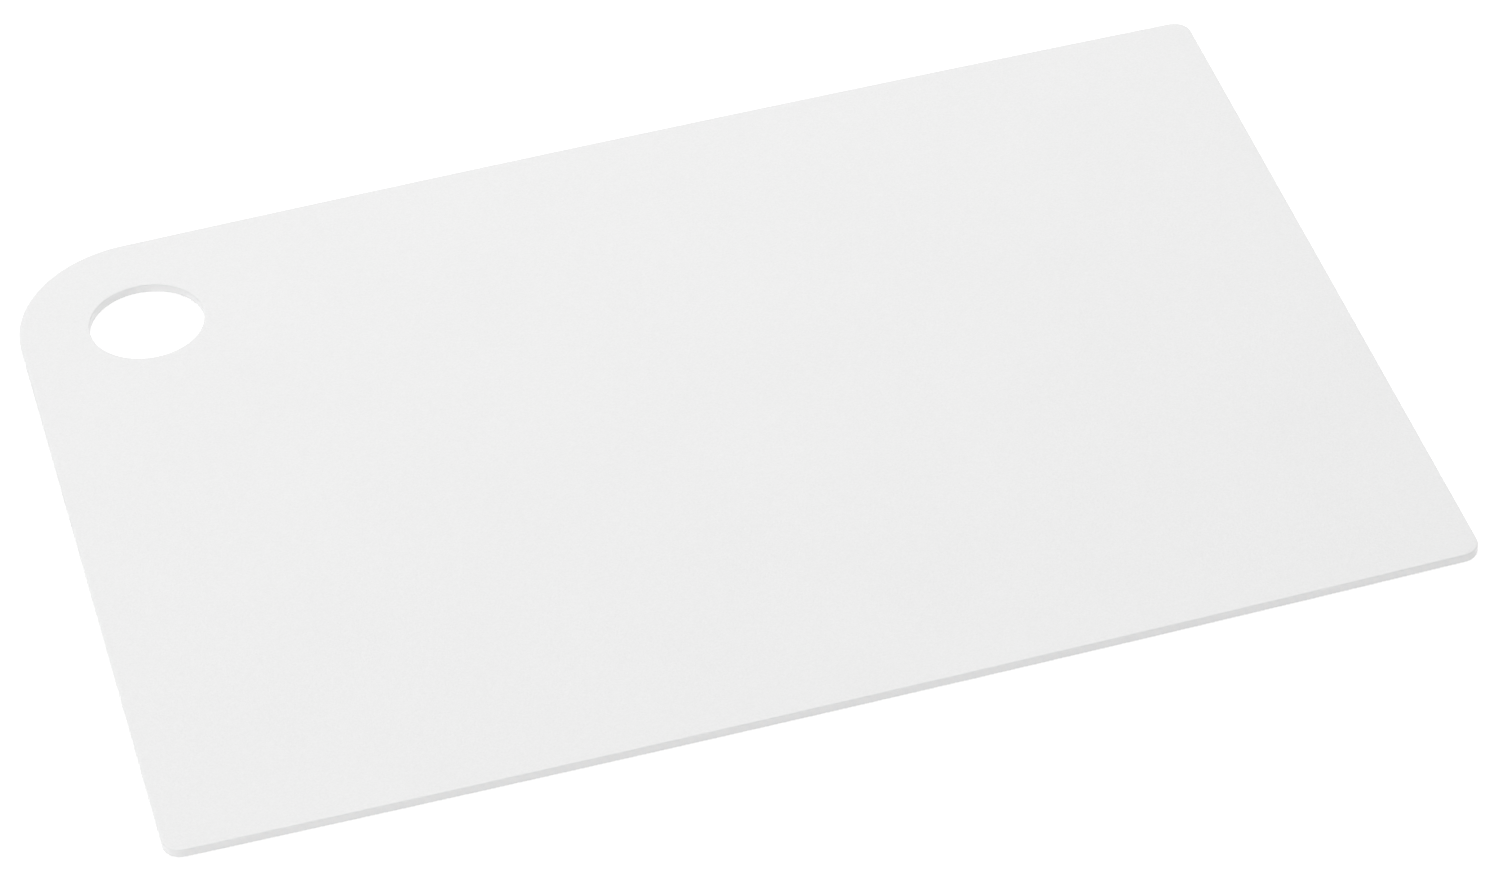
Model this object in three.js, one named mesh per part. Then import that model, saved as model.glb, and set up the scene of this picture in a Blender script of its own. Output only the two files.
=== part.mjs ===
// A thin plastic cutting board: one flat sheet with rounded edges, and a hanging hole in its round corner.
// Millimetres. +X runs along the long side, +Y to the rear and +Z up.
// The origin is the middle of the underside.
import * as THREE from "three";

// Driving dimensions
const LENGTH = 340; // between the two straight short sides
const DEPTH = 240; // between the crests of the two bowed long sides
const THICKNESS = 2.6;
const LONG_SIDE_BOW = 1.4; // how far the middle of a long side stands out past its ends
const PLAIN_CORNER_RADIUS = 5; // the three corners without a hole
const HOLE_DIAMETER = 31;
const HOLE_RIM = 19; // plastic left between the hole and the outside of its corner
const EDGE_ROUNDING = 0.4; // along every edge of the upper and lower face

// Fineness of the round stretches
const CURVE_SEGMENTS = 8; // each arc of the outline and of the hole gets twice this many straight steps
const ROUNDING_STEPS = 3; // across the rounding of an edge

// A long side is a shallow arc whose crest is DEPTH / 2 from the middle of the board.
const bowRadius = ((LENGTH / 2) ** 2 + LONG_SIDE_BOW ** 2) / (2 * LONG_SIDE_BOW);
const bowCentre = bowRadius - DEPTH / 2;

// The hanging corner and its hole share one centre.
const holeRadius = HOLE_DIAMETER / 2;
const hangingCornerRadius = holeRadius + HOLE_RIM;

const whitePolyethylene = new THREE.MeshStandardMaterial({ color: 0xeeeeee, roughness: 0.5, metalness: 0 });

// A corner arc that touches a short side and a long side. It meets the long side at bowAngle.
// sideX is -1 on the left and 1 on the right; sideY is -1 at the front and 1 at the rear.
function corner(sideX, sideY, radius) {
  const x = sideX * (LENGTH / 2 - radius);
  const fromBowCentre = Math.sqrt((bowRadius - radius) ** 2 - x ** 2);
  return {
    x,
    y: sideY * (fromBowCentre - bowCentre),
    radius,
    bowAngle: sideY * Math.atan2(fromBowCentre, x),
  };
}

// The outline, anticlockwise from the left end of the front. Each arc joins on to the end of the last one.
function boardOutline(hangingCorner) {
  const frontLeft = corner(-1, -1, PLAIN_CORNER_RADIUS);
  const frontRight = corner(1, -1, PLAIN_CORNER_RADIUS);
  const rearRight = corner(1, 1, PLAIN_CORNER_RADIUS);
  const outline = new THREE.Shape();
  outline.absarc(frontLeft.x, frontLeft.y, frontLeft.radius, Math.PI, frontLeft.bowAngle);
  outline.absarc(0, bowCentre, bowRadius, frontLeft.bowAngle, frontRight.bowAngle);
  outline.absarc(frontRight.x, frontRight.y, frontRight.radius, frontRight.bowAngle, 0);
  outline.absarc(rearRight.x, rearRight.y, rearRight.radius, 0, rearRight.bowAngle);
  outline.absarc(0, -bowCentre, bowRadius, rearRight.bowAngle, hangingCorner.bowAngle);
  outline.absarc(hangingCorner.x, hangingCorner.y, hangingCorner.radius, hangingCorner.bowAngle, Math.PI);
  return outline.closePath();
}

// The hole, in quarters so that it is as fine as the corner round it.
function hangingHole(centre) {
  const hole = new THREE.Path();
  for (let quarter = 0; quarter < 4; quarter++) {
    const start = (quarter * Math.PI) / 2;
    hole.absarc(centre.x, centre.y, holeRadius, start, start + Math.PI / 2);
  }
  return hole;
}

function boardSheet() {
  const hangingCorner = corner(-1, 1, hangingCornerRadius);
  const outline = boardOutline(hangingCorner);
  outline.holes.push(hangingHole(hangingCorner));
  const geometry = new THREE.ExtrudeGeometry(outline, {
    depth: THICKNESS - 2 * EDGE_ROUNDING,
    curveSegments: CURVE_SEGMENTS,
    bevelThickness: EDGE_ROUNDING,
    bevelSize: EDGE_ROUNDING,
    bevelOffset: -EDGE_ROUNDING,
    bevelSegments: ROUNDING_STEPS,
  });
  const sheet = new THREE.Mesh(geometry, whitePolyethylene);
  sheet.name = "board";
  sheet.position.z = EDGE_ROUNDING;
  return sheet;
}

const cuttingBoard = new THREE.Group();
cuttingBoard.add(boardSheet());

export default cuttingBoard;
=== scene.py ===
"""A thin white plastic cutting board lying on a pale studio floor.

The board is one sheet: bowed long sides, three plain corners, and a hanging hole in its round corner.
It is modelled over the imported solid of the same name, in metres, with +X along the long side, +Y to the
rear and +Z up.
"""

import logging
import math
from dataclasses import dataclass
from enum import Enum

import bpy
from mathutils import Matrix, Vector


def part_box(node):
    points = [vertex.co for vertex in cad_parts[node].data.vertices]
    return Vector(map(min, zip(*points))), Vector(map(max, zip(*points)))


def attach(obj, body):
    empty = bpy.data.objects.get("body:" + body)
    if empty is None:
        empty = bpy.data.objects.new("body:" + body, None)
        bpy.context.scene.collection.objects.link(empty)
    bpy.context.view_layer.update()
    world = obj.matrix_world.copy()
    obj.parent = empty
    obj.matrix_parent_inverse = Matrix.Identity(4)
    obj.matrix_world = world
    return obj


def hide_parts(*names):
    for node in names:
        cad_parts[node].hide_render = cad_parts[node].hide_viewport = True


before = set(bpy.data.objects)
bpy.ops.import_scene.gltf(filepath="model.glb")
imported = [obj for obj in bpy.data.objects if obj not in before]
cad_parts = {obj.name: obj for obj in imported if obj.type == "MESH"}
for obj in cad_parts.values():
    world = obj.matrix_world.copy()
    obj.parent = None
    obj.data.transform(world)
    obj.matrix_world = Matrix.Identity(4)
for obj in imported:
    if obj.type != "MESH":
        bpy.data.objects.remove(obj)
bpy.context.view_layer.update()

log = logging.getLogger("cutting_board")

MM = 0.001
FLAT_NORMAL_Z = 0.999
NOISE_MEAN = 0.5
ROUND_PROFILE = 0.5
BODY = "root"
BOARD_NODE = "board"


class ShortSide(Enum):
    """A short side of the board, by the sign of its X."""

    LEFT = -1
    RIGHT = 1


class LongSide(Enum):
    """A long side of the board, by the sign of its Y."""

    FRONT = -1
    REAR = 1


class Zone(Enum):
    """A zone of the board's surface, by the place of its finish among the material slots."""

    FACE = 0
    EDGE = 1


@dataclass(frozen=True)
class Finish:
    """A finish of the white polyethylene. Sizes are in metres.

    The grain is the fine relief that the mould leaves, and the ripple is the slow swell under it. The
    drift is a slow change of tone and gloss over the sheet, as the plastic set.
    """

    name: str
    tone: float
    roughness: float
    grain_size: float
    grain_depth: float
    # Painted shade: how much darker the grain's valleys are painted, and its peaks lighter.
    painted_valley_shade: float
    ripple_size: float
    ripple_depth: float
    tone_drift: float
    roughness_drift: float
    drift_size: float
    translucency: float
    translucent_depth: float = 0.6 * MM
    refractive_index: float = 1.51

    def material(self) -> bpy.types.Material:
        """Make the material of this finish.

        Returns:
            The material, with its relief and drift placed as shader groups.
        """
        made = bpy.data.materials.new(self.name)
        made.use_nodes = True
        nodes, links = made.node_tree.nodes, made.node_tree.links
        shader = nodes["Principled BSDF"]
        shader.inputs["IOR"].default_value = self.refractive_index
        shader.inputs["Subsurface Weight"].default_value = self.translucency
        shader.inputs["Subsurface Scale"].default_value = self.translucent_depth
        shader.inputs["Subsurface Radius"].default_value = (1.0, 1.0, 1.0)
        drift = place_group(
            nodes,
            drift_group(),
            {
                "Tone": self.tone,
                "Tone Drift": self.tone_drift,
                "Painted Valley Shade": self.painted_valley_shade,
                "Roughness": self.roughness,
                "Roughness Drift": self.roughness_drift,
                "Drift Size": self.drift_size,
            },
        )
        relief = place_group(
            nodes,
            relief_group(),
            {
                "Grain Size": self.grain_size,
                "Grain Depth": self.grain_depth,
                "Ripple Size": self.ripple_size,
                "Ripple Depth": self.ripple_depth,
            },
        )
        links.new(relief.outputs["Grain"], drift.inputs["Grain"])
        links.new(drift.outputs["Color"], shader.inputs["Base Color"])
        links.new(drift.outputs["Roughness"], shader.inputs["Roughness"])
        links.new(relief.outputs["Normal"], shader.inputs["Normal"])
        return made


def new_group(name: str, inputs: tuple[str, ...], outputs: dict[str, str]) -> bpy.types.NodeTree:
    """Start a shader group with its sockets.

    Args:
        name: The group's name.
        inputs: The names of its number inputs.
        outputs: The names of its outputs, each with its socket type.

    Returns:
        The group, holding only its input and output nodes.
    """
    group = bpy.data.node_groups.new(name, "ShaderNodeTree")
    for socket in inputs:
        group.interface.new_socket(name=socket, in_out="INPUT", socket_type="NodeSocketFloat")
    for socket, kind in outputs.items():
        group.interface.new_socket(name=socket, in_out="OUTPUT", socket_type=kind)
    group.nodes.new("NodeGroupInput")
    group.nodes.new("NodeGroupOutput")
    return group


def place_group(
    nodes: bpy.types.Nodes, group: bpy.types.NodeTree, values: dict[str, float]
) -> bpy.types.Node:
    """Place a shader group in a material.

    Args:
        nodes: The material's nodes.
        group: The group to place.
        values: A value for each of its inputs, by name.

    Returns:
        The group's node.
    """
    node = nodes.new("ShaderNodeGroup")
    node.node_tree = group
    for socket, value in values.items():
        node.inputs[socket].default_value = value
    return node


def math_node(
    group: bpy.types.NodeTree, operation: str, *values: float | bpy.types.NodeSocket
) -> bpy.types.NodeSocket:
    """Add a math node to a group.

    Args:
        group: The group that gets the node.
        operation: The node's operation.
        values: Its inputs in order, each a number or the socket that feeds it.

    Returns:
        The node's output.
    """
    node = group.nodes.new("ShaderNodeMath")
    node.operation = operation
    for socket, value in zip(node.inputs, values):
        if isinstance(value, bpy.types.NodeSocket):
            group.links.new(value, socket)
        else:
            socket.default_value = value
    return node.outputs["Value"]


def noise_node(
    group: bpy.types.NodeTree, feature_size: bpy.types.NodeSocket, detail: float
) -> bpy.types.NodeSocket:
    """Add a noise on the piece's own coordinates to a group.

    Args:
        group: The group that gets the noise.
        feature_size: The socket that gives the size of the noise's features, in metres.
        detail: How many finer layers it has.

    Returns:
        The noise, about NOISE_MEAN in the mean.
    """
    place = group.nodes.new("ShaderNodeTexCoord")
    noise = group.nodes.new("ShaderNodeTexNoise")
    noise.inputs["Detail"].default_value = detail
    group.links.new(place.outputs["Object"], noise.inputs["Vector"])
    group.links.new(math_node(group, "DIVIDE", 1.0, feature_size), noise.inputs["Scale"])
    return noise.outputs["Fac"]


def drift_group() -> bpy.types.NodeTree:
    """The slow drift of tone and gloss over the sheet, with painted shade that makes the grain's valleys a
    little darker.

    Returns:
        A group whose Color and Roughness wander about the values given.
    """
    name = "tone_and_gloss_drift"
    if name in bpy.data.node_groups:
        return bpy.data.node_groups[name]
    group = new_group(
        name,
        ("Tone", "Tone Drift", "Grain", "Painted Valley Shade", "Roughness", "Roughness Drift", "Drift Size"),
        {"Color": "NodeSocketColor", "Roughness": "NodeSocketFloat"},
    )
    given = group.nodes["Group Input"].outputs
    result = group.nodes["Group Output"].inputs
    noise = noise_node(group, given["Drift Size"], detail=2.0)
    offset = math_node(group, "SUBTRACT", noise, NOISE_MEAN)
    drifted = math_node(group, "MULTIPLY_ADD", offset, given["Tone Drift"], given["Tone"])
    # Painted shade: the tone is darkened in the grain's valleys and lightened on its peaks, by the grain's
    # height.
    tone = math_node(group, "MULTIPLY_ADD", given["Grain"], given["Painted Valley Shade"], drifted)
    colour = group.nodes.new("ShaderNodeCombineColor")
    for channel in ("Red", "Green", "Blue"):
        group.links.new(tone, colour.inputs[channel])
    rough = math_node(group, "MULTIPLY_ADD", offset, given["Roughness Drift"], given["Roughness"])
    group.links.new(colour.outputs["Color"], result["Color"])
    group.links.new(rough, result["Roughness"])
    return group


def relief_group() -> bpy.types.NodeTree:
    """The relief that the mould leaves on the plastic: a fine grain over a slow ripple.

    Returns:
        A group whose Normal is tilted by the relief, and whose Grain is below zero in the grain's valleys:
        the mask for the painted shade in those valleys.
    """
    name = "moulded_relief"
    if name in bpy.data.node_groups:
        return bpy.data.node_groups[name]
    group = new_group(
        name,
        ("Grain Size", "Grain Depth", "Ripple Size", "Ripple Depth"),
        {"Normal": "NodeSocketVector", "Grain": "NodeSocketFloat"},
    )
    given = group.nodes["Group Input"].outputs
    result = group.nodes["Group Output"].inputs
    ripple = noise_node(group, given["Ripple Size"], detail=1.0)
    grain = noise_node(group, given["Grain Size"], detail=2.0)
    swell = math_node(group, "MULTIPLY", ripple, given["Ripple Depth"])
    height = math_node(group, "MULTIPLY_ADD", grain, given["Grain Depth"], swell)
    # The height is in metres already.
    bump = group.nodes.new("ShaderNodeBump")
    bump.inputs["Distance"].default_value = 1.0
    group.links.new(height, bump.inputs["Height"])
    group.links.new(bump.outputs["Normal"], result["Normal"])
    # The grain's height about its mean, which the drift group turns into painted shade in the valleys.
    group.links.new(math_node(group, "SUBTRACT", grain, NOISE_MEAN), result["Grain"])
    return group


def is_flat(face: bpy.types.MeshPolygon) -> bool:
    """Tell whether a face lies in the upper or lower side of the sheet."""
    return abs(face.normal.z) > FLAT_NORMAL_Z


@dataclass(frozen=True)
class Corner:
    """A corner arc of the outline, which touches a short side and a long side."""

    x: float
    y: float
    radius: float
    bow_angle: float


@dataclass
class Board:
    """The board: one sheet with a hanging hole and rounded edges. Sizes are in metres."""

    length: float
    depth: float
    thickness: float
    face_finish: Finish
    edge_finish: Finish
    long_side_bow: float = 1.4 * MM
    plain_corner_radius: float = 5.0 * MM
    hole_radius: float = 15.5 * MM
    hole_rim: float = 19.0 * MM
    edge_rounding: float = 0.4 * MM
    sharp_angle: float = math.radians(60.0)
    edge_ring: float = 2.0 * MM
    cell: float = 20.0 * MM
    corner_steps: int = 24
    hanging_corner_steps: int = 64
    bow_steps: int = 32
    hole_steps: int = 128
    rounding_steps: int = 6

    @property
    def bow_radius(self) -> float:
        """Radius of the shallow arc that each long side follows."""
        return ((self.length / 2) ** 2 + self.long_side_bow**2) / (2 * self.long_side_bow)

    @property
    def bow_centre(self) -> float:
        """Distance of that arc's centre from the middle of the board."""
        return self.bow_radius - self.depth / 2

    @property
    def hanging_corner(self) -> Corner:
        """The round corner, which shares its centre with the hole."""
        return self.corner(ShortSide.LEFT, LongSide.REAR, self.hole_radius + self.hole_rim)

    def corner(self, short: ShortSide, long: LongSide, radius: float) -> Corner:
        """Work out a corner arc.

        Args:
            short: The short side that it touches.
            long: The long side that it touches.
            radius: Its radius.

        Returns:
            The corner, with the direction in which it meets the long side.
        """
        x = short.value * (self.length / 2 - radius)
        from_bow_centre = math.sqrt((self.bow_radius - radius) ** 2 - x**2)
        y = long.value * (from_bow_centre - self.bow_centre)
        return Corner(x, y, radius, long.value * math.atan2(from_bow_centre, x))

    def build(self) -> bpy.types.Object:
        """Model the sheet and dress it.

        Returns:
            The finished piece.
        """
        sheet = self.draw_outline()
        self.raise_sheet()
        self.cut_hole(sheet)
        self.ring_edges(sheet)
        self.round_edges()
        self.cut_cells()
        self.smooth(sheet)
        self.dress(sheet)
        return sheet

    def draw_outline(self) -> bpy.types.Object:
        """Draw the outline on the floor plane, anticlockwise, by moving and spinning its loose end.

        Returns:
            The new piece, left in edit mode as an open chain of edges.
        """
        front_left = self.corner(ShortSide.LEFT, LongSide.FRONT, self.plain_corner_radius)
        front_right = self.corner(ShortSide.RIGHT, LongSide.FRONT, self.plain_corner_radius)
        rear_right = self.corner(ShortSide.RIGHT, LongSide.REAR, self.plain_corner_radius)
        hanging = self.hanging_corner
        bpy.ops.object.select_all(action="DESELECT")
        bpy.ops.mesh.primitive_plane_add(size=self.plain_corner_radius)
        sheet = bpy.context.object
        sheet.name = sheet.data.name = "board_sheet"
        bpy.ops.object.mode_set(mode="EDIT")
        bpy.ops.mesh.select_all(action="SELECT")
        bpy.ops.mesh.merge(type="CENTER")
        bpy.ops.transform.translate(value=(-self.length / 2, front_left.y, 0.0))
        self.sweep(front_left, -math.pi, front_left.bow_angle, self.corner_steps)
        self.follow_bow(front_left.bow_angle, front_right.bow_angle)
        self.sweep(front_right, front_right.bow_angle, 0.0, self.corner_steps)
        bpy.ops.mesh.extrude_vertices_move(
            TRANSFORM_OT_translate={"value": (0.0, rear_right.y - front_right.y, 0.0)}
        )
        self.sweep(rear_right, 0.0, rear_right.bow_angle, self.corner_steps)
        self.follow_bow(rear_right.bow_angle, hanging.bow_angle)
        self.sweep(hanging, hanging.bow_angle, math.pi, self.hanging_corner_steps)
        return sheet

    @staticmethod
    def sweep(corner: Corner, start: float, end: float, steps: int) -> None:
        """Spin the outline's loose end round a corner.

        Args:
            corner: The corner.
            start: The direction in which the end lies from its centre.
            end: The direction in which it is to lie.
            steps: How many edges the arc gets.
        """
        # A positive angle spins clockwise here.
        bpy.ops.mesh.spin(
            steps=steps, angle=start - end, center=(corner.x, corner.y, 0.0), axis=(0.0, 0.0, 1.0)
        )

    def follow_bow(self, start: float, end: float) -> None:
        """Extrude the outline's loose end along a bowed long side, in short straight moves.

        The centre of the bow is metres away, too far for an exact spin.

        Args:
            start: The direction in which the end lies from the bow's centre.
            end: The direction in which it is to lie.
        """
        step = (end - start) / self.bow_steps
        chord = 2 * self.bow_radius * math.sin(step / 2)
        for index in range(self.bow_steps):
            heading = start + (index + 0.5) * step + math.pi / 2
            move = (chord * math.cos(heading), chord * math.sin(heading), 0.0)
            bpy.ops.mesh.extrude_vertices_move(TRANSFORM_OT_translate={"value": move})

    def raise_sheet(self) -> None:
        """Close the outline with a face, and extrude it to the board's thickness."""
        bpy.ops.mesh.select_all(action="SELECT")
        bpy.ops.mesh.edge_face_add()
        bpy.ops.mesh.extrude_region_move(TRANSFORM_OT_translate={"value": (0.0, 0.0, self.thickness)})
        bpy.ops.mesh.select_all(action="SELECT")
        bpy.ops.mesh.normals_make_consistent(inside=False)
        bpy.ops.object.mode_set(mode="OBJECT")

    def cut_hole(self, sheet: bpy.types.Object) -> None:
        """Cut the hanging hole through the sheet.

        Args:
            sheet: The piece.
        """
        hanging = self.hanging_corner
        through = 3 * self.thickness
        bpy.ops.object.select_all(action="DESELECT")
        bpy.ops.mesh.primitive_cylinder_add(
            vertices=self.hole_steps,
            radius=self.hole_radius,
            depth=through,
            location=(hanging.x, hanging.y, self.thickness / 2),
        )
        cutter = bpy.context.object
        cut = sheet.modifiers.new("hanging_hole", "BOOLEAN")
        cut.operation = "DIFFERENCE"
        cut.solver = "EXACT"
        cut.object = cutter
        bpy.context.view_layer.objects.active = sheet
        bpy.ops.object.modifier_apply(modifier=cut.name)
        bpy.data.objects.remove(cutter)
        sheet.select_set(True)

    def ring_edges(self, sheet: bpy.types.Object) -> None:
        """Inset the two faces, so that an even ring of faces runs along every edge that is rounded next.

        Args:
            sheet: The piece.
        """
        bpy.ops.object.mode_set(mode="EDIT")
        bpy.ops.mesh.select_mode(type="FACE")
        bpy.ops.mesh.select_all(action="DESELECT")
        bpy.ops.object.mode_set(mode="OBJECT")
        for face in sheet.data.polygons:
            face.select = is_flat(face)
        bpy.ops.object.mode_set(mode="EDIT")
        bpy.ops.mesh.inset(thickness=self.edge_ring, depth=0.0)
        bpy.ops.object.mode_set(mode="OBJECT")

    def round_edges(self) -> None:
        """Round every edge of the two faces, round the hole too."""
        bpy.ops.object.mode_set(mode="EDIT")
        bpy.ops.mesh.select_mode(type="EDGE")
        bpy.ops.mesh.select_all(action="DESELECT")
        bpy.ops.mesh.edges_select_sharp(sharpness=self.sharp_angle)
        bpy.ops.mesh.bevel(
            offset=self.edge_rounding,
            segments=self.rounding_steps,
            profile=ROUND_PROFILE,
            clamp_overlap=False,
        )
        bpy.ops.object.mode_set(mode="OBJECT")

    def cut_cells(self) -> None:
        """Cut the sheet into cells, so that no face of it is a long sliver."""
        along = Vector((1.0, 0.0, 0.0))
        across = Vector((0.0, 1.0, 0.0))
        bpy.ops.object.mode_set(mode="EDIT")
        for axis, reach in ((along, self.length), (across, self.depth)):
            count = round(reach / self.cell)
            for line in range(1, count):
                bpy.ops.mesh.select_all(action="SELECT")
                bpy.ops.mesh.bisect(plane_co=axis * (line / count - 0.5) * reach, plane_no=axis)
        bpy.ops.object.mode_set(mode="OBJECT")

    @staticmethod
    def smooth(sheet: bpy.types.Object) -> None:
        """Shade the roundings smooth and the two faces flat.

        Args:
            sheet: The piece.
        """
        bpy.ops.object.shade_smooth()
        flat = sheet.modifiers.new("flat_faces", "WEIGHTED_NORMAL")
        bpy.ops.object.modifier_apply(modifier=flat.name)

    def dress(self, sheet: bpy.types.Object) -> None:
        """Give the two faces and the edge their finishes.

        Args:
            sheet: The piece.
        """
        finishes = {Zone.FACE: self.face_finish, Zone.EDGE: self.edge_finish}
        for zone in Zone:
            sheet.data.materials.append(finishes[zone].material())
        for face in sheet.data.polygons:
            face.material_index = (Zone.FACE if is_flat(face) else Zone.EDGE).value


@dataclass(frozen=True)
class Floor:
    """The pale floor, which isn't part of the object. Sizes are in metres."""

    side: float = 12.0
    drop: float = 0.02 * MM
    tone: float = 0.9
    roughness: float = 0.9
    lift: float = 0.34

    def lay(self) -> bpy.types.Object:
        """Lay the floor just under the board.

        Returns:
            The floor.
        """
        bpy.ops.object.select_all(action="DESELECT")
        bpy.ops.mesh.primitive_plane_add(size=self.side, location=(0.0, 0.0, -self.drop))
        floor = bpy.context.object
        floor.name = "pale_floor"
        made = bpy.data.materials.new("pale_floor")
        made.use_nodes = True
        shader = made.node_tree.nodes["Principled BSDF"]
        shader.inputs["Base Color"].default_value = (self.tone, self.tone, self.tone, 1.0)
        shader.inputs["Roughness"].default_value = self.roughness
        shader.inputs["Specular IOR Level"].default_value = 0.0
        shader.inputs["Emission Color"].default_value = (1.0, 1.0, 1.0, 1.0)
        shader.inputs["Emission Strength"].default_value = self.lift
        floor.data.materials.append(made)
        return floor


@dataclass(frozen=True)
class SoftBox:
    """A soft light over the board or beside it. Sizes are in metres, and power is in watts."""

    name: str
    place: tuple[float, float, float]
    width: float
    height: float
    power: float

    def hang(self) -> bpy.types.Object:
        """Hang the light, turned towards the board.

        Returns:
            The light.
        """
        data = bpy.data.lights.new(self.name, "AREA")
        data.shape = "RECTANGLE"
        data.size = self.width
        data.size_y = self.height
        data.energy = self.power
        light = bpy.data.objects.new(self.name, data)
        light.location = self.place
        light.rotation_euler = Vector(self.place).to_track_quat("Z", "Y").to_euler()
        bpy.context.scene.collection.objects.link(light)
        return light


@dataclass(frozen=True)
class Room:
    """The even white light that comes from all round."""

    strength: float

    def surround(self) -> None:
        """Put the light round the scene."""
        world = bpy.data.worlds.new("white_room")
        world.use_nodes = True
        background = world.node_tree.nodes["Background"]
        background.inputs["Color"].default_value = (1.0, 1.0, 1.0, 1.0)
        background.inputs["Strength"].default_value = self.strength
        bpy.context.scene.world = world


@dataclass(frozen=True)
class Viewpoint:
    """The photograph's view of the board. Angles are in degrees and places in metres."""

    azimuth: float = -12.44
    elevation: float = 40.50
    roll: float = -4.37
    distance: float = 1.5436
    aim: tuple[float, float, float] = (0.0060, -0.0151, 0.0026)
    lens_mm: float = 142.05
    sensor_mm: float = 36.0

    def set_camera(self) -> bpy.types.Object:
        """Stand the camera at the viewpoint.

        Returns:
            The camera, which is made the scene's own.
        """
        azimuth, elevation, roll = map(math.radians, (self.azimuth, self.elevation, self.roll))
        level_right = Vector((math.cos(azimuth), math.sin(azimuth), 0.0))
        back = Vector(
            (
                math.sin(azimuth) * math.cos(elevation),
                -math.cos(azimuth) * math.cos(elevation),
                math.sin(elevation),
            )
        )
        level_up = back.cross(level_right)
        right = level_right * math.cos(roll) + level_up * math.sin(roll)
        up = back.cross(right)
        data = bpy.data.cameras.new("viewpoint")
        data.lens = self.lens_mm
        data.sensor_width = self.sensor_mm
        camera = bpy.data.objects.new("viewpoint", data)
        turn = Matrix((right, up, back)).transposed().to_4x4()
        camera.matrix_world = Matrix.Translation(Vector(self.aim) + back * self.distance) @ turn
        bpy.context.scene.collection.objects.link(camera)
        bpy.context.scene.camera = camera
        return camera


GRAINED_FACE = Finish(
    name="grained_white_face",
    tone=0.80,
    roughness=0.42,
    grain_size=0.55 * MM,
    grain_depth=0.08 * MM,
    # Painted shade in the grain's valleys.
    painted_valley_shade=0.08,
    ripple_size=9.0 * MM,
    ripple_depth=0.03 * MM,
    tone_drift=0.018,
    roughness_drift=0.08,
    drift_size=45.0 * MM,
    translucency=0.1,
)
SMOOTH_EDGE = Finish(
    name="smooth_white_edge",
    tone=0.80,
    roughness=0.38,
    grain_size=0.60 * MM,
    grain_depth=0.015 * MM,
    # Painted shade in the grain's valleys.
    painted_valley_shade=0.02,
    ripple_size=6.0 * MM,
    ripple_depth=0.03 * MM,
    tone_drift=0.02,
    roughness_drift=0.08,
    drift_size=25.0 * MM,
    translucency=0.2,
)
STUDIO_LIGHTS = (
    SoftBox(name="overhead_softbox", place=(0.14, 0.15, 3.0), width=3.2, height=3.2, power=81.6),
    SoftBox(name="rear_softbox", place=(-0.1, 1.2, 0.7), width=1.8, height=0.5, power=3.95),
    SoftBox(name="left_softbox", place=(-3.3, -0.5, 1.5), width=1.2, height=2.8, power=3.5),
    SoftBox(name="low_softbox", place=(-0.75, -0.31, 0.1), width=0.25, height=0.12, power=0.75),
)
ROOM = Room(strength=0.285)


def main() -> None:
    """Build the board and its studio in order."""
    logging.basicConfig(level=logging.INFO, format="%(name)s: %(message)s")
    bpy.context.scene.view_settings.view_transform = "Standard"
    camera = Viewpoint().set_camera()
    log.info("camera %s, lens %.1f mm", camera.name, camera.data.lens)

    low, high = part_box(BOARD_NODE)
    board = Board(
        length=high.x - low.x,
        depth=2 * min(high.y, -low.y),
        thickness=high.z - low.z,
        face_finish=GRAINED_FACE,
        edge_finish=SMOOTH_EDGE,
    )
    sheet = board.build()
    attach(sheet, BODY)
    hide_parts(BOARD_NODE)
    log.info("piece %s, %d faces, on %s", sheet.name, len(sheet.data.polygons), BODY)

    floor = Floor().lay()
    log.info("stage %s", floor.name)
    for light in STUDIO_LIGHTS:
        light.hang()
        log.info("light %s", light.name)
    ROOM.surround()


if __name__ == "__main__":
    main()
